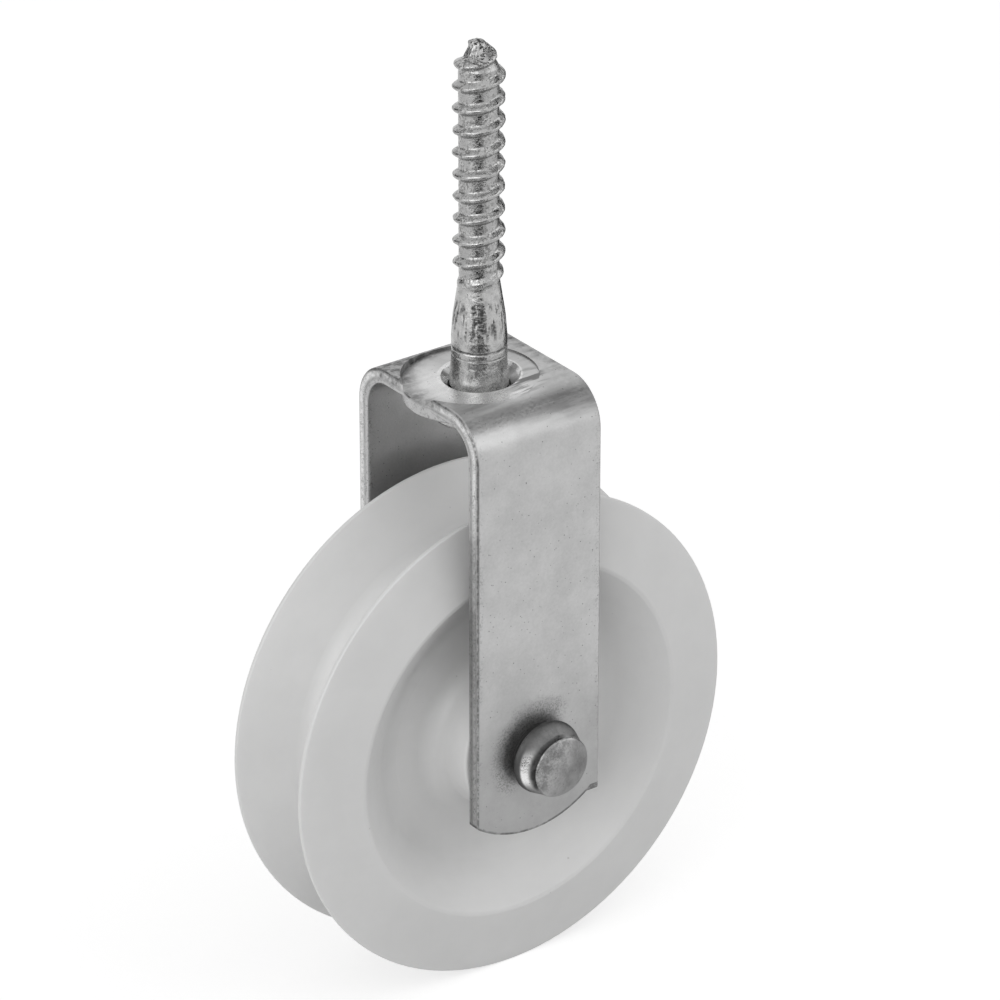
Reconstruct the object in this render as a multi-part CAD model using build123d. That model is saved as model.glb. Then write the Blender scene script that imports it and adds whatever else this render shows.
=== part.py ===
"""Swivel pulley: a plastic grooved wheel in a bent steel fork, hung from a coarse wood screw.

The origin is on the screw's axis, in the plane of the fork's top face. X runs along the rope,
Y along the axle and Z up the screw. Sizes are in millimetres, angles in degrees.
"""
import math
import os

from build123d import *

# Wheel
wheel_radius = 30.0
rim_width = 13.4
rim_land = 0.5
rim_edge_round = 0.2
groove_angle = 64.0
groove_floor_radius = 3.0
ring_width = 8.0
ring_rise = 1.6
ring_edge_round = 0.7
dish_slope_width = 6.0
dish_round = 4.0
web_thickness = 7.4
hub_radius = 8.9
hub_draft = 0.4
hub_length = 18.8
hub_foot_round = 2.4
hub_edge_round = 0.4

# Axle rivet: a hammered head on the near leg, a factory head on the far one
axle_radius = 3.0
axle_running_clearance = 0.1
axle_hole_clearance = 0.05
formed_neck_radius = 3.85
formed_neck_height = 0.5
formed_flare_height = 0.8
formed_head_radius = 4.35
formed_head_height = 3.5
formed_head_round = 0.6
formed_crease_round = 0.1
formed_face_dome = 0.4
factory_head_radius = 4.75
factory_head_height = 2.1
factory_head_rim = 0.5

# Fork strap
strap_width = 17.4
strap_thickness = 1.9
strap_edge_round = 0.35
hub_side_clearance = 0.3
rope_headroom = 12.3
near_bend_radius = 3.3
far_bend_radius = 3.4
leg_end_drop = 9.95
leg_end_rise = 2.5
leg_end_shoulder = 1.8

# Pressed seat round the swivel hole, struck towards the front edge and a little askew
seat_radius = 7.9
seat_depth = 0.6
seat_shift = 1.3
seat_tilt = 3.0
seat_edge_round = 0.4
seat_bulge = 0.35
swivel_lip_radius = 4.5
swivel_lip_depth = 1.0

# Wood screw
swivel_radial_clearance = 0.2
swivel_end_clearance = 0.15
collar_radius = 3.4
collar_top = 0.3
shank_radius = 3.2
shank_top = 4.6
waist_radius = 3.0
waist_height = 7.2
screw_rise = 40.5
point_start = 37.3
point_radius = 0.75
turned_edge_round = 0.2
shank_edge_round = 0.1
waist_round = 1.0
screw_head_radius = 5.75
screw_head_thickness = 2.4
screw_head_round = 0.8

# Thread: its first turn rises out of the waist and its last one runs down the point
thread_root_radius = 2.3
thread_root_start = 11.8
thread_crest_radius = 3.03
thread_pitch = 2.67
thread_base_width = 1.55
thread_crest_width = 0.28
thread_foot_sink = 0.3
thread_fade_start = 9.6
thread_fade_end = 13.6
thread_fade_root_radius = 1.3
thread_end = 39.1
thread_end_root_radius = 1.0
thread_overlap = 0.3
thread_joint_step = 0.03
thread_turn = 100.0

# Sizes that follow from those above
rim_half = rim_width / 2
hub_half = hub_length / 2
web_half = web_thickness / 2
fork_half_gap = hub_half + hub_side_clearance
fork_half_depth = fork_half_gap + strap_thickness
axle_drop = strap_thickness + rope_headroom + wheel_radius
swivel_hole_radius = collar_radius + swivel_radial_clearance
seat_slope = math.tan(math.radians(seat_tilt))
seat_underside = strap_thickness + seat_depth + (screw_head_radius - seat_shift) * seat_slope
screw_head_top = -seat_underside - swivel_end_clearance
thread_depth = thread_crest_radius - thread_root_radius
thread_start = thread_fade_end - thread_overlap

wheel_centre = Location((0, 0, -axle_drop))


def turned(outline, axis):
    """The solid that a closed outline makes when it is turned once about an axis."""
    return revolve(make_face(outline), axis)


def wheel():
    """The one-piece moulded wheel: V groove, conical side rings, dished web and bored hub."""
    bore_radius = axle_radius + axle_running_clearance
    ring_inner = wheel_radius - ring_width
    flank_edge = rim_half - rim_land
    groove_apex = wheel_radius - flank_edge / math.tan(math.radians(groove_angle / 2))
    side = [
        (bore_radius, hub_half, 0),
        (hub_radius, hub_half, hub_edge_round),
        (hub_radius + hub_draft, web_half, hub_foot_round),
        (ring_inner - dish_slope_width, web_half, dish_round),
        (ring_inner, rim_half + ring_rise, ring_edge_round),
        (wheel_radius, rim_half, rim_edge_round),
        (wheel_radius, flank_edge, rim_edge_round),
    ]
    other_side = [(radius, -y, rounding) for radius, y, rounding in reversed(side)]
    corners = side + [(groove_apex, 0, groove_floor_radius)] + other_side
    edge = FilletPolyline(
        *[(radius, y) for radius, y, rounding in corners],
        radius=[rounding for radius, y, rounding in corners[1:-1]],
    )
    bore = Line(edge @ 1, edge @ 0)
    return wheel_centre * turned(edge + bore, Axis.Y)


def factory_head():
    """The rivet's factory head: a low dome on the XZ plane that stands up along Y."""
    rise = factory_head_height - factory_head_rim
    base = Polyline(
        (0, factory_head_height),
        (0, 0),
        (factory_head_radius, 0),
        (factory_head_radius, factory_head_rim),
    )
    dome_radius = (factory_head_radius**2 + rise**2) / (2 * rise)
    dome = RadiusArc(base @ 1, base @ 0, -dome_radius)
    return turned(base + dome, Axis.Y)


def formed_head():
    """The rivet's hammered head on the XZ plane: a neck that flares to a barrel with a domed face."""
    top = formed_head_height + formed_face_dome
    side = FilletPolyline(
        (0, 0),
        (formed_neck_radius, 0),
        (formed_neck_radius, formed_neck_height),
        (formed_head_radius, formed_neck_height + formed_flare_height),
        (formed_head_radius, formed_head_height),
        (formed_head_radius / 2, top),
        (0, top),
        radius=[
            formed_crease_round,
            formed_crease_round,
            formed_head_round,
            formed_head_round,
            formed_head_radius,
        ],
    )
    return turned(side + Line(side @ 1, side @ 0), Axis.Y)


def axle():
    """The rivet through both legs, which carries the wheel."""
    shaft = Rot(90, 0, 0) * Cylinder(axle_radius, 2 * fork_half_depth)
    near_head = Pos(0, -fork_half_depth, 0) * Rot(0, 0, 180) * formed_head()
    far_head = Pos(0, fork_half_depth, 0) * factory_head()
    return wheel_centre * (shaft + near_head + far_head)


def strap_section():
    """The bent strap seen along X: two legs joined by a crown, with a rounded bend at each end."""
    foot = -axle_drop - leg_end_drop
    faces = []
    for half, top, grow in (
        (fork_half_gap, -strap_thickness, 0),
        (fork_half_depth, 0, strap_thickness),
    ):
        faces.append(
            FilletPolyline(
                (-half, foot),
                (-half, top),
                (half, top),
                (half, foot),
                radius=[near_bend_radius + grow, far_bend_radius + grow],
            )
        )
    inner, outer = faces
    feet = Line(outer @ 0, inner @ 0) + Line(inner @ 1, outer @ 1)
    return Plane.YZ * make_face(inner + outer + feet)


def leg_outline():
    """The strap seen along Y: straight sides, and a foot cut to an arc with one small shoulder."""
    half = strap_width / 2
    lowest = -axle_drop - leg_end_drop
    corner = lowest + leg_end_rise
    arc_end = half - leg_end_shoulder
    foot = ThreePointArc((-half, corner), ((arc_end - half) / 2, lowest), (arc_end, corner))
    sides = Polyline((arc_end, corner), (half, corner), (half, 0), (-half, 0), (-half, corner))
    return Plane.XZ * make_face(foot + sides)


def side_edges(strap):
    """The long edges at the two cut sides of the strap."""
    low = strap.edges().filter_by_position(Axis.X, -strap_width / 2, -strap_width / 2)
    high = strap.edges().filter_by_position(Axis.X, strap_width / 2, strap_width / 2)
    return low + high


def press_seat(strap):
    """Press the round seat into the crown, so that metal is squeezed down and out at the front."""
    struck = Pos(-seat_shift, 0, 0) * Rot(0, -seat_tilt, 0)
    disc = Cylinder(seat_radius, strap_thickness)
    recess = struck * Pos(0, 0, strap_thickness / 2 - seat_depth) * disc
    plug = fillet(disc.edges().filter_by(GeomType.CIRCLE), seat_edge_round)
    plug = struck * Pos(0, 0, -seat_depth - strap_thickness / 2) * plug
    room = Box(2 * strap_width, 2 * fork_half_gap, 2 * (strap_thickness + seat_underside))
    room = Pos(strap_width / 2 - seat_bulge, 0, 0) * room
    return strap - recess + (plug & room)


def swivel_hole():
    """The hole for the screw, from above the crown to below it, with a conical lip at its top."""
    lip_height = seat_depth + swivel_lip_depth
    flare = (swivel_lip_radius - swivel_hole_radius) * lip_height / swivel_lip_depth
    lip = Cone(swivel_hole_radius, swivel_hole_radius + flare, lip_height)
    bore = Cylinder(swivel_hole_radius, 2 * (strap_thickness + seat_underside))
    return bore + Pos(0, 0, -lip_height / 2) * lip


def fork():
    """The strap bent to a fork, with a pressed seat and a hole in its crown and one hole in each leg."""
    bent = extrude(strap_section(), strap_width / 2, both=True)
    strap = bent & extrude(leg_outline(), fork_half_depth, both=True)
    strap = fillet(side_edges(strap), strap_edge_round)
    strap = press_seat(strap)
    across = Cylinder(axle_radius + axle_hole_clearance, 2 * fork_half_depth + strap_thickness)
    return strap - swivel_hole() - wheel_centre * Rot(90, 0, 0) * across


def screw_core():
    """The screw without its thread: trapped head, collar, shank, waist and blunt point."""
    head_bottom = screw_head_top - screw_head_thickness
    collar_foot = collar_top - (collar_radius - shank_radius)
    lower = FilletPolyline(
        (0, head_bottom),
        (screw_head_radius, head_bottom),
        (screw_head_radius, screw_head_top),
        (collar_radius, screw_head_top),
        (collar_radius, collar_foot),
        (shank_radius, collar_top),
        (shank_radius, shank_top),
        (waist_radius, waist_height),
        radius=[
            screw_head_round,
            turned_edge_round,
            turned_edge_round,
            shank_edge_round,
            shank_edge_round,
            waist_round,
        ],
    )
    upper = Polyline(
        (waist_radius, waist_height),
        (thread_root_radius, thread_root_start),
        (thread_root_radius, point_start),
        (point_radius, screw_rise),
        (0, screw_rise),
        (0, head_bottom),
    )
    return turned(Plane.XZ * (lower + upper), Axis.Z)


def ridge(low, high, low_root, high_root):
    """One stretch of the thread's ridge, its foot sunk in the core, in line with the other stretches."""
    rise = high - low
    cone = math.degrees(math.atan((high_root - low_root) / rise))
    flank = (thread_base_width - thread_crest_width) / 2 / thread_depth
    foot_half = thread_base_width / 2 + thread_foot_sink * flank
    crest_half = thread_crest_width / 2
    foot = low_root - thread_foot_sink
    crest = low_root + thread_depth
    section = Polyline(
        (foot, low - foot_half),
        (crest, low - crest_half),
        (crest, low + crest_half),
        (foot, low + foot_half),
        close=True,
    )
    path = Helix(thread_pitch, rise, low_root, center=(0, 0, low), cone_angle=cone)
    turn = 360 * (low - thread_start) / thread_pitch
    return Rot(0, 0, turn) * sweep(Plane.XZ * make_face(section), path=path, is_frenet=True)


def screw():
    """The wood screw on which the fork swivels, with its right-hand thread."""
    root = thread_root_radius
    point_root = root + thread_joint_step
    stretches = [
        ridge(thread_fade_start, thread_fade_end, thread_fade_root_radius, root),
        ridge(thread_start, point_start, root, root),
        ridge(point_start - thread_overlap, thread_end, point_root, thread_end_root_radius),
    ]
    return Rot(0, 0, thread_turn) * (screw_core() + stretches)


def main():
    """Write each piece to its own file."""
    os.makedirs("parts", exist_ok=True)
    pieces = {
        "pulley_wheel": wheel(),
        "axle_rivet": axle(),
        "fork_strap": fork(),
        "wood_screw": screw(),
    }
    for name, piece in pieces.items():
        export_step(piece, f"parts/{name}.step")


main()
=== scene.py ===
"""The swivel pulley dressed for the studio: zinc-plated fork and rivet, coarse wood screw, milky wheel."""

import logging
import math
from dataclasses import dataclass, fields
from enum import Enum
from functools import reduce
from typing import NamedTuple, Optional, Sequence

import bmesh
import bpy
from mathutils import Matrix, Vector, noise

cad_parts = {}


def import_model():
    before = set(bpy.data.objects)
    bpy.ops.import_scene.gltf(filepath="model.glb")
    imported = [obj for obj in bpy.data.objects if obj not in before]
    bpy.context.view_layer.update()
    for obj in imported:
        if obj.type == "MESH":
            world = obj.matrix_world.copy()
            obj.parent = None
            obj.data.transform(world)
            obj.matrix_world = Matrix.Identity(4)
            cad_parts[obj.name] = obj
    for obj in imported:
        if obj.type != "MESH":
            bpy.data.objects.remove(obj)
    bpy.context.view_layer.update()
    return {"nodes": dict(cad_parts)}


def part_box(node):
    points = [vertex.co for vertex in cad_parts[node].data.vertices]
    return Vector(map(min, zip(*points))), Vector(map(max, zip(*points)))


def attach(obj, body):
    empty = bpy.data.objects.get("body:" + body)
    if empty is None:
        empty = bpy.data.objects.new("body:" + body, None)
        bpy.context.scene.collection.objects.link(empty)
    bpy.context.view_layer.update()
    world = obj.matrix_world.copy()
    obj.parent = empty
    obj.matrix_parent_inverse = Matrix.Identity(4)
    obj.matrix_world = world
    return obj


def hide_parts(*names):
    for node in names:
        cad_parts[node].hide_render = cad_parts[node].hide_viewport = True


LOG = logging.getLogger("pulley")
MM = 0.001
TOUCH = 0.002 * MM
SCORE_LAYER = "score"

Colour = tuple[float, float, float]
Triple = tuple[float, float, float]
Point = tuple[float, float]
Ramp = tuple[float, ...]
Band = tuple[Point, Point]
Socket = bpy.types.NodeSocket
Masks = tuple[object, object, object]


def mm(*lengths: float) -> tuple[float, ...]:
    """Lengths in millimetres, turned to metres."""
    return tuple(length * MM for length in lengths)


def clamped(value: float) -> float:
    """A value, kept between 0 and 1."""
    return min(1.0, max(0.0, value))


def grey(level: float) -> tuple[float, float, float, float]:
    """An opaque grey."""
    return level, level, level, 1.0


class TreeKind(Enum):
    """The two kinds of node tree that the script builds."""

    SHADER = "ShaderNodeTree"
    GEOMETRY = "GeometryNodeTree"


class SocketKind(Enum):
    """The kinds of group socket that the script uses."""

    NUMBER = "NodeSocketFloat"
    WHOLE = "NodeSocketInt"
    VECTOR = "NodeSocketVector"
    SHAPE = "NodeSocketGeometry"
    FINISH = "NodeSocketMaterial"


@dataclass(frozen=True)
class Patches:
    """A noise pattern and the ramp that cuts it to a mask."""

    scale: object
    detail: float
    rough: float
    share: Ramp


class Tree:
    """A thin wrapper that adds and links nodes in one tree."""

    def __init__(self, tree: bpy.types.NodeTree) -> None:
        """Keeps the tree.

        Args:
            tree: The node tree to build in.
        """
        self.tree = tree

    def add(self, kind: str, inputs: Optional[dict] = None, **settings: object) -> bpy.types.Node:
        """Adds a node.

        Args:
            kind: The node's type name.
            inputs: Socket name or number to a value, or to a socket that is linked to it.
            **settings: Attributes of the node.

        Returns:
            The new node.
        """
        node = self.tree.nodes.new(kind)
        for name, value in settings.items():
            setattr(node, name, value)
        self.fill(node, inputs or {})
        return node

    def fill(self, node: bpy.types.Node, inputs: dict) -> None:
        """Gives a node's inputs values or links."""
        for key, value in inputs.items():
            self.set(node.inputs[key], value)

    def set(self, socket: Socket, value: object) -> None:
        """Gives a socket a value, or links another socket to it.

        Args:
            socket: The socket to set.
            value: A plain value or a socket.
        """
        if isinstance(value, Socket):
            self.tree.links.new(value, socket)
        else:
            socket.default_value = value

    def math(self, operation: str, *terms: object) -> Socket:
        """Adds one Math node.

        Args:
            operation: The Math node's operation.
            *terms: Numbers or sockets.

        Returns:
            The result's socket.
        """
        return self.add("ShaderNodeMath", dict(enumerate(terms)), operation=operation).outputs[0]

    def chain(self, operation: str, values: Sequence[object]) -> object:
        """Joins two or more values, one Math node after another."""
        return reduce(lambda result, value: self.math(operation, result, value), values)

    def plus(self, *values: object) -> Socket:
        """Adds two or more values."""
        return self.chain("ADD", values)

    def minus(self, first: object, second: object) -> Socket:
        """Takes the second value from the first."""
        return self.math("SUBTRACT", first, second)

    def times(self, *values: object) -> Socket:
        """Multiplies two or more values."""
        return self.chain("MULTIPLY", values)

    def most(self, *values: object) -> Socket:
        """The highest of two or more values."""
        return self.chain("MAXIMUM", values)

    def size(self, value: object) -> Socket:
        """A value without its sign."""
        return self.math("ABSOLUTE", value)

    def reach(self, first: object, second: object) -> Socket:
        """The distance from an axis, from the two offsets across it."""
        return self.math("SQRT", self.plus(self.times(first, first), self.times(second, second)))

    def ramp(self, value: object, low: object, high: object, start: object = 0.0,
             end: object = 1.0) -> Socket:
        """Maps a value from low..high to start..end, clamped, easing in and out.

        Args:
            value: The number or socket to map.
            low: The value that gives start.
            high: The value that gives end.
            start: The first result.
            end: The last result.

        Returns:
            The result's socket.
        """
        places = {0: value, 1: low, 2: high, 3: start, 4: end}
        return self.add("ShaderNodeMapRange", places, interpolation_type="SMOOTHSTEP").outputs[0]

    def hump(self, value: object, rise: Point, fall: Point) -> Socket:
        """A mask that is 1 between two edges.

        Args:
            value: The number or socket to test.
            rise: Where the mask leaves 0 and where it reaches 1.
            fall: Where it leaves 1 and where it is back at 0.

        Returns:
            The mask's socket.
        """
        return self.times(self.ramp(value, *rise), self.ramp(value, *fall, 1.0, 0.0))

    def mix(self, factor: object, first: object, second: object) -> Socket:
        """Mixes two colours.

        Args:
            factor: 0 for the first colour, 1 for the second.
            first: A colour or socket.
            second: A colour or socket.

        Returns:
            The mixed colour's socket.
        """
        node = self.add("ShaderNodeMix", data_type="RGBA")
        for number, value in ((0, factor), (6, first), (7, second)):
            self.set(node.inputs[number], (*value, 1.0) if isinstance(value, tuple) else value)
        return node.outputs[2]

    def noise(self, vector: object, scale: object, detail: float, rough: float) -> Socket:
        """Adds a noise texture and gives its value's socket."""
        places = {"Vector": vector, "Scale": scale, "Detail": detail, "Roughness": rough}
        return self.add("ShaderNodeTexNoise", places).outputs[0]

    def patches(self, vector: object, pattern: Patches) -> Socket:
        """Draws a noise pattern as a mask and gives its socket."""
        return self.ramp(self.noise(vector, pattern.scale, pattern.detail, pattern.rough), *pattern.share)

    def bump(self, height: object, strength: float, distance: float) -> Socket:
        """Adds a Bump node and gives its normal's socket."""
        inputs = {"Strength": strength, "Distance": distance, "Height": height}
        return self.add("ShaderNodeBump", inputs).outputs[0]

    def split(self, vector: object) -> Sequence[Socket]:
        """Splits a vector and gives its three sockets."""
        return self.add("ShaderNodeSeparateXYZ", {0: vector}).outputs

    def vector(self, *parts: object) -> Socket:
        """Joins three values in a vector and gives its socket."""
        return self.add("ShaderNodeCombineXYZ", dict(enumerate(parts))).outputs[0]

    def place(self, group: "Group", **values: object) -> dict[str, Socket]:
        """Places a node group.

        Args:
            group: The group.
            **values: Input name, with _ for a space, to a value or socket.

        Returns:
            The group's outputs by name.
        """
        node = self.add("ShaderNodeGroup", node_tree=group.tree)
        for label, value in values.items():
            self.set(node.inputs[label.replace("_", " ")], value)
        return {socket.name: socket for socket in node.outputs}


class Group(Tree):
    """A node group with named sockets."""

    def __init__(self, name: str, kind: TreeKind, inputs: dict[str, SocketKind],
                 outputs: dict[str, SocketKind]) -> None:
        """Makes the empty group.

        Args:
            name: The group's name.
            kind: Shader or geometry.
            inputs: Input name to kind.
            outputs: Output name to kind.
        """
        super().__init__(bpy.data.node_groups.new(name, kind.value))
        for side, sockets in (("INPUT", inputs), ("OUTPUT", outputs)):
            for label, socket in sockets.items():
                self.tree.interface.new_socket(name=label, in_out=side, socket_type=socket.value)
        self.get = self.add("NodeGroupInput").outputs
        self.put = self.add("NodeGroupOutput").inputs

    def give(self, **results: object) -> None:
        """Links the group's outputs.

        Args:
            **results: Output name, with _ for a space, to a socket.
        """
        for label, value in results.items():
            self.set(self.put[label.replace("_", " ")], value)


def mottle_group(widest: float = 0.42, soft_edge: float = 0.12) -> Group:
    """Builds the shared pattern of soft clouds, fine grain and small pits.

    Args:
        widest: The widest pit's radius, as a share of a cell.
        soft_edge: The pits' blurred edge, as a share of a cell.

    Returns:
        A shader group with Cloud, Grain and Pits outputs, each 0 to 1.
    """
    number = SocketKind.NUMBER
    group = Group(
        "mottle",
        TreeKind.SHADER,
        {"Place": SocketKind.VECTOR, "Cloud Scale": number, "Grain Scale": number, "Pit Scale": number,
         "Pit Share": number},
        {"Cloud": number, "Grain": number, "Pits": number},
    )
    place = group.get["Place"]
    cloud = group.patches(place, Patches(group.get["Cloud Scale"], 5.0, 0.62, (0.3, 0.7)))
    grain = group.patches(place, Patches(group.get["Grain Scale"], 2.0, 0.6, (0.25, 0.75)))
    cell = group.add("ShaderNodeTexVoronoi", {"Vector": place, "Scale": group.get["Pit Scale"]})
    chance = group.add("ShaderNodeSeparateColor", {0: cell.outputs["Color"]}).outputs[0]
    size = group.math("DIVIDE", chance, group.get["Pit Share"])
    reach = group.ramp(size, 0.0, 1.0, widest, 0.0)
    pits = group.ramp(group.minus(reach, cell.outputs["Distance"]), 0.0, soft_edge)
    group.give(Cloud=cloud, Grain=grain, Pits=pits)
    return group


def streak_group() -> Group:
    """Builds the shared pattern of streaks drawn out along X, Y or Z by its Stretch input.

    Returns:
        A shader group with one Streaks output, 0 to 1.
    """
    group = Group(
        "streaks",
        TreeKind.SHADER,
        {"Place": SocketKind.VECTOR, "Stretch": SocketKind.VECTOR, "Scale": SocketKind.NUMBER},
        {"Streaks": SocketKind.NUMBER},
    )
    parts = {0: group.get["Place"], 1: group.get["Stretch"]}
    drawn = group.add("ShaderNodeVectorMath", parts, operation="MULTIPLY").outputs[0]
    group.give(Streaks=group.patches(drawn, Patches(group.get["Scale"], 4.0, 0.6, (0.35, 0.65))))
    return group


@dataclass(frozen=True)
class Groups:
    """The shared shader groups."""

    mottle: Group
    streaks: Group


@dataclass(frozen=True)
class Surface:
    """A material's tree, with what the wear of every piece reads."""

    tree: Tree
    groups: Groups
    place: Socket
    grain: Socket


def new_material(name: str) -> tuple[bpy.types.Material, Tree, bpy.types.Node]:
    """Makes a material with nodes.

    Args:
        name: Its name.

    Returns:
        The material, its tree and its Principled BSDF.
    """
    made = bpy.data.materials.new(name)
    made.use_nodes = True
    return made, Tree(made.node_tree), made.node_tree.nodes["Principled BSDF"]


@dataclass(frozen=True)
class ZincFinish:
    """Zinc-plated steel: grey metal with soft clouds, fine grain and dark pits."""

    name: str
    light: Colour
    dark: Colour
    # The dark colour below darkens the pits, real dirt and painted shade; the bright one lightens burnished
    # metal and painted highlights.
    soot: Colour = (0.045, 0.045, 0.045)
    polished: Colour = (0.75, 0.75, 0.75)
    shine: float = 0.3
    dull: float = 0.42
    cloud_scale: float = 170.0
    cloud_share: float = 0.6
    grain_scale: float = 3400.0
    pit_scale: float = 5200.0
    pit_share: float = 0.05
    pit_soot: float = 0.75
    shade_and_soot_dulls: float = 0.25
    polish_smooths: float = 0.08
    relief: float = 0.35
    relief_reach: float = 0.04 * MM
    grain_relief: float = 0.4

    def wear(self, on: Surface) -> Masks:
        """The wear that belongs to one piece.

        Args:
            on: The material's tree and its shared sockets.

        Returns:
            The dirt with any painted shade, the polish with any painted highlights, and the scratches, each a
            mask from 0 to 1.
        """
        raise NotImplementedError

    def material(self, groups: Groups) -> bpy.types.Material:
        """Builds the material.

        Args:
            groups: The shared shader groups.

        Returns:
            The new material.
        """
        made, tree, shader = new_material(self.name)
        place = tree.add("ShaderNodeTexCoord").outputs["Object"]
        mottle = tree.place(groups.mottle, Place=place, Cloud_Scale=self.cloud_scale,
                            Grain_Scale=self.grain_scale, Pit_Scale=self.pit_scale,
                            Pit_Share=self.pit_share)
        grain, pits = mottle["Grain"], mottle["Pits"]
        # The wear masks carry painted shade and painted highlights as well as real dirt and polish.
        dirt_and_shade, polish_and_highlight, scratches = self.wear(Surface(tree, groups, place, grain))
        shade = tree.plus(tree.times(mottle["Cloud"], self.cloud_share),
                          tree.times(grain, 1 - self.cloud_share))
        colour = tree.mix(polish_and_highlight, tree.mix(shade, self.dark, self.light), self.polished)
        black = tree.most(tree.times(pits, self.pit_soot), dirt_and_shade)
        rough = tree.plus(tree.ramp(grain, 0.0, 1.0, self.shine, self.dull),
                          tree.times(black, self.shade_and_soot_dulls))
        relief = tree.minus(tree.times(grain, self.grain_relief), tree.most(pits, scratches))
        tree.fill(shader, {
            "Base Color": tree.mix(black, colour, self.soot),
            "Metallic": 1.0,
            "Roughness": tree.minus(rough, tree.times(polish_and_highlight, self.polish_smooths)),
            "Normal": tree.bump(relief, self.relief, self.relief_reach),
        })
        return made


@dataclass(frozen=True)
class StrapSurface:
    """The strap's surface: its axes, the depth below its outer skin and its noises."""

    tree: Tree
    place: Socket
    x: Socket
    y: Socket
    z: Socket
    patch: Socket
    speck: Socket
    fine: Socket
    depth: Socket
    skin: Socket


@dataclass(frozen=True)
class StrapFinish(ZincFinish):
    """The strap's plating: burnished with a painted highlight round the pressed seat, painted dark
    reflections over the bends, painted shade by the rivet.
    """

    name: str = "strap_zinc"
    light: Colour = (0.52, 0.52, 0.52)
    dark: Colour = (0.4, 0.4, 0.4)
    half_width: float = 8.7 * MM
    half_depth: float = 11.6 * MM
    axle_z: float = -44.2 * MM
    foot_z: float = -54.0 * MM
    foot_middle: float = -0.9 * MM
    foot_radius: float = 13.42 * MM
    bend_radius: float = 5.25 * MM
    patch_noise: Triple = (900.0, 4.0, 0.7)
    specks: Patches = Patches(5200.0, 2.0, 0.7, (0.5, 0.62))
    fine_scale: float = 900.0
    fine_stretch: Triple = (0.12, 1.0, 0.5)
    outer_skin: Ramp = (*mm(0.2, 0.5), 1.0, 0.0)
    cut_side: Point = mm(0.3, 0.1)
    torn: Patches = Patches(1700.0, 3.0, 0.7, (0.38, 0.6, 0.35, 1.0))
    rolled_line: Band = (mm(-0.1, 0.0), mm(0.16, 0.3))
    broken_line: Band = (mm(1.0, 1.2), mm(1.3, 1.5))
    broken_soot: float = 0.5
    shear_soot: float = 0.75
    shear_line: Band = (mm(0.3, 0.5), mm(0.8, 1.1))
    shear_polish: float = 0.8
    edge_width: float = 1.3 * MM
    edge_specks: Ramp = (0.42, 0.6)
    edge_soot: float = 0.55
    corner_height: float = 4.0 * MM
    corner_burrs: Ramp = (0.42, 0.56)
    corner_soot: float = 0.85
    rim_width: Point = mm(0.5, 0.1)
    rim_height: float = 3.2 * MM
    rim_soot: Ramp = (0.3, 0.6, 0.4, 0.8)
    # Painted shade round the rivet, standing for the head's dark reflection and shadow on the strap.
    halo_reach: Ramp = (*mm(6.2, 9.4), 1.0, 0.0)
    halo_ragged: float = 2.0 * MM
    halo_slant: float = 1.2
    halo_above: Ramp = (*mm(-3.0, 3.0), 0.15, 1.0)
    halo_broken: Ramp = (0.35, 0.9, 0.45, 1.0)
    halo_shade: float = 0.58
    # Painted dark reflection over the bends, darker towards the right end; painted shade darker towards the
    # feet.
    bend_band: Band = (mm(-3.4, -1.4), mm(-0.5, 0.3))
    bend_slant: float = 0.08
    bend_outside: Ramp = mm(4.5, 8.0)
    bend_streaks: Ramp = (0.0, 1.0, 0.1, 0.35)
    bend_shade: Ramp = (*mm(0.0, 6.0), 0.0, 0.3)
    foot_shade: float = 0.3
    pressed_level: Ramp = mm(-4.5, -2.475)
    pressed_reach: Ramp = (*mm(6.0, 9.4), 1.0, 0.0)
    # Painted highlight over burnished metal: the bright ring on the hole's lip and the seat's lighter front
    # left.
    lip: Band = (mm(4.3, 4.5), mm(4.8, 5.1))
    front_slant: float = 0.5
    front_highlight: Ramp = (*mm(-3.0, 2.0), 1.0, 0.2)
    pressed_patches: Ramp = (0.25, 0.55, 0.5, 1.0)
    # Painted shadow over the seat's front right.
    shadow_streaks: Ramp = (0.3, 0.8)
    shadow_across: Band = (mm(-1.0, 2.0), mm(5.0, 7.0))
    shadow_fade: Ramp = (*mm(-4.0, -1.0), 0.7, 0.1)
    # Painted shade on the crown, darker towards its rear.
    rear_slant: float = 0.55
    rear_shade: Ramp = (*mm(-3.0, 4.5), 0.2, 0.85)
    rear_patches: Ramp = (0.35, 0.6, 0.3, 1.0)
    crown_level: Ramp = mm(-1.5, -0.8)
    crown_streaks: Ramp = (0.0, 1.0, 0.6, 1.0)
    pressed_clean: float = 0.7
    streak_scratches: float = 0.5
    pressed_scratches: float = 0.6

    def under_skin(self, tree: Tree, y: Socket, z: Socket) -> Socket:
        """The depth below the strap's outer skin, measured round the bends too.

        Args:
            tree: The material's tree.
            y: The place through the fork.
            z: The height.

        Returns:
            The depth.
        """
        across = tree.minus(tree.size(y), self.half_depth - self.bend_radius)
        above = tree.plus(z, self.bend_radius)
        round_part = tree.reach(tree.most(across, 0.0), tree.most(above, 0.0))
        flat_part = tree.math("MINIMUM", tree.most(across, above), 0.0)
        return tree.minus(self.bend_radius, tree.plus(round_part, flat_part))

    def sheared_side(self, on: StrapSurface) -> tuple[Socket, Socket]:
        """The lines that shearing left on the strap's cut sides.

        Args:
            on: The strap's surface.

        Returns:
            The dark lines and the bright line.
        """
        tree = on.tree
        start, end = self.cut_side
        side = tree.ramp(tree.size(on.x), self.half_width - start, self.half_width - end)
        torn = tree.patches(on.place, self.torn)
        rolled = tree.hump(on.depth, *self.rolled_line)
        broken = tree.times(tree.hump(on.depth, *self.broken_line), self.broken_soot)
        dark = tree.times(side, tree.plus(rolled, broken), torn, self.shear_soot)
        return dark, tree.times(side, tree.hump(on.depth, *self.shear_line), torn, self.shear_polish)

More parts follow.
